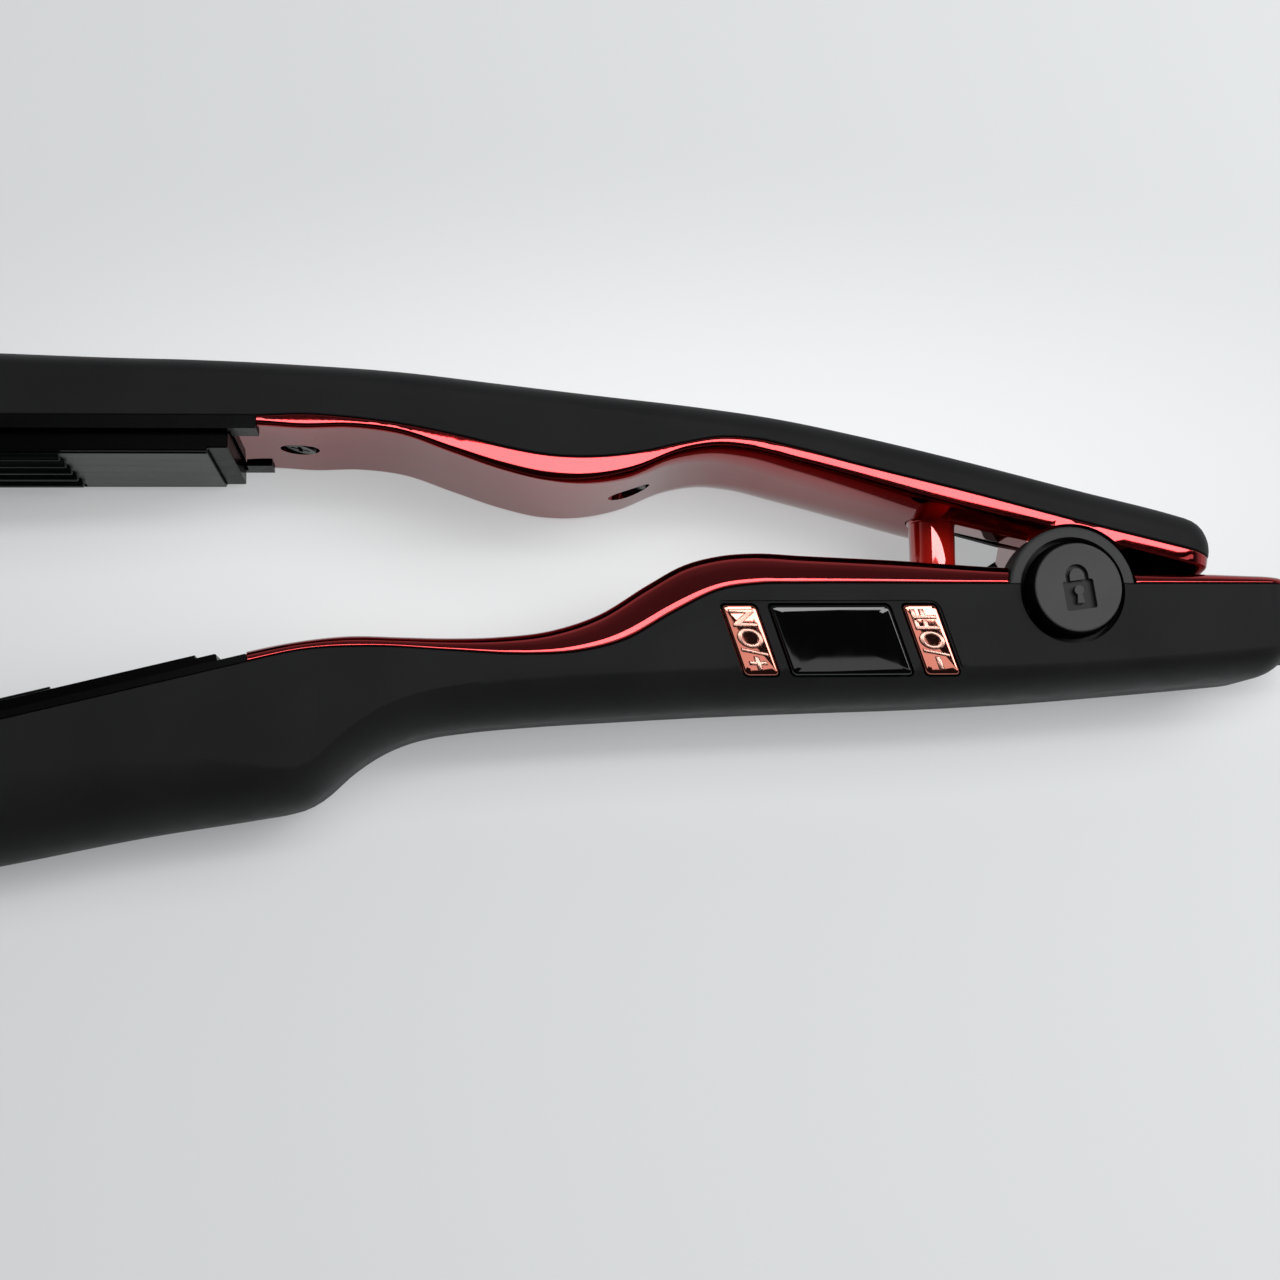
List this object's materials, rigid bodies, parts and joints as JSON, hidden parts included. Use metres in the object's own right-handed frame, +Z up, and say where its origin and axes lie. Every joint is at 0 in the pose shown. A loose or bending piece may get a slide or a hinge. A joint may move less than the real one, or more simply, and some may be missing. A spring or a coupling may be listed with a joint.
{
  "type": "hair crimper",
  "caption": "Hand-held hair crimper: two hinged arms with ridged heated plates, a spring that opens them, keys, a display window and a lock button at the hinge.",
  "frame": {"origin": "under the centre of the bounding box at its lowest face, with the arms open and the crimper lying on its flat side", "axes": "+X from the heated tips towards the cord end, +Y from the lower arm towards the upper arm, +Z up, parallel to the hinge axis, out of the side with the keys"},
  "size_m": [0.2972, 0.092, 0.035],
  "materials": {
    "shell_black": "soft matte",
    "hinge_black": "soft matte",
    "lock_black": "matte",
    "frame_black": "satin",
    "carrier_black": "glossy",
    "chrome_red": "mirror, red tinted",
    "post_red": "glossy",
    "key_rose": "mirror, rose tinted",
    "window_black": "glossy",
    "plate_ceramic": "satin ceramic coat",
    "heater_ceramic": "matte",
    "mica": "matte",
    "silicone": "matte",
    "brass": "plain",
    "steel": "satin",
    "screw_steel": "blackened",
    "spring_steel": "bright",
    "switch_steel": "satin",
    "board_green": "satin",
    "display_white": "satin",
    "terminal_white": "satin",
    "lead_white": "satin",
    "gland_rubber": "matte"
  },
  "bodies": {
    "lower_arm": {"lower_shell": "shell_black", "lower_cover": "chrome_red", "lower_tail_cover": "chrome_red", "near_hinge_cheek": "hinge_black", "far_hinge_cheek": "hinge_black", "hinge_sleeve": "steel", "hinge_washers": "steel", "lower_plate_frame": "frame_black", "lower_plate_pads": "silicone", "lower_cover_screws": "screw_steel", "control_board": "board_green", "key_switches": "switch_steel", "display_module": "display_white", "display_window": "window_black", "thermal_fuse": "brass", "terminal_block": "terminal_white", "opening_spring": "spring_steel", "lower_heater_leads": "lead_white"},
    "upper_arm": {"upper_shell": "shell_black", "upper_cover": "chrome_red", "hinge_knuckle": "post_red", "spring_post": "post_red", "upper_plate_frame": "frame_black", "upper_plate_pads": "silicone", "upper_cover_screws": "screw_steel", "upper_heater_leads": "lead_white"},
    "upper_plate_unit": {"upper_plate_carrier": "carrier_black", "upper_plate": "plate_ceramic", "upper_heater": "heater_ceramic", "upper_mica_sheet": "mica", "upper_temperature_sensor": "brass"},
    "lower_plate_unit": {"lower_plate_carrier": "carrier_black", "lower_plate": "plate_ceramic", "lower_heater": "heater_ceramic", "lower_mica_sheet": "mica", "lower_temperature_sensor": "brass"},
    "lock": {"lock_button": "lock_black", "lock_spindle": "steel", "lock_tab": "steel", "release_button": "lock_black"},
    "on_key": {"on_key": "key_rose"},
    "off_key": {"off_key": "key_rose"},
    "gland": {"cord_gland": "gland_rubber"}
  },
  "joints": [
    {"name": "arm_hinge", "type": "hinge", "parent": "lower_arm", "child": "upper_arm", "pos_m": [0.09759, 0.00467, 0], "axis": [0, 0, 1], "range_deg": [0, 13], "stiffness_Nm_per_rad": 0.5, "springref_deg": -14.32, "deforming": ["opening_spring"]},
    {"name": "lower_plate_float", "type": "slide", "parent": "lower_arm", "child": "lower_plate_unit", "axis": [0.23, -0.9732, 0], "range_m": [0, 0.0009], "stiffness_N_per_m": 8000, "springref_m": -0.0002, "deforming": ["lower_plate_pads"]},
    {"name": "upper_plate_float", "type": "slide", "parent": "upper_arm", "child": "upper_plate_unit", "axis": [-0.0052, 1, 0], "range_m": [0, 0.0009], "stiffness_N_per_m": 8000, "springref_m": -0.0002, "deforming": ["upper_plate_pads"]},
    {"name": "lock_slide", "type": "slide", "parent": "lower_arm", "child": "lock", "axis": [0, 0, -1], "range_m": [0, 0.003]},
    {"name": "on_key_press", "type": "slide", "parent": "lower_arm", "child": "on_key", "axis": [0, 0, -1], "range_m": [0, 0.0006], "stiffness_N_per_m": 3000, "springref_m": -0.0001},
    {"name": "off_key_press", "type": "slide", "parent": "lower_arm", "child": "off_key", "axis": [0, 0, -1], "range_m": [0, 0.0006], "stiffness_N_per_m": 3000, "springref_m": -0.0001},
    {"name": "gland_swivel", "type": "hinge", "parent": "lower_arm", "child": "gland", "pos_m": [0.13759, -0.00073, 0.016], "axis": [1, 0, 0], "continuous": true}
  ]
}
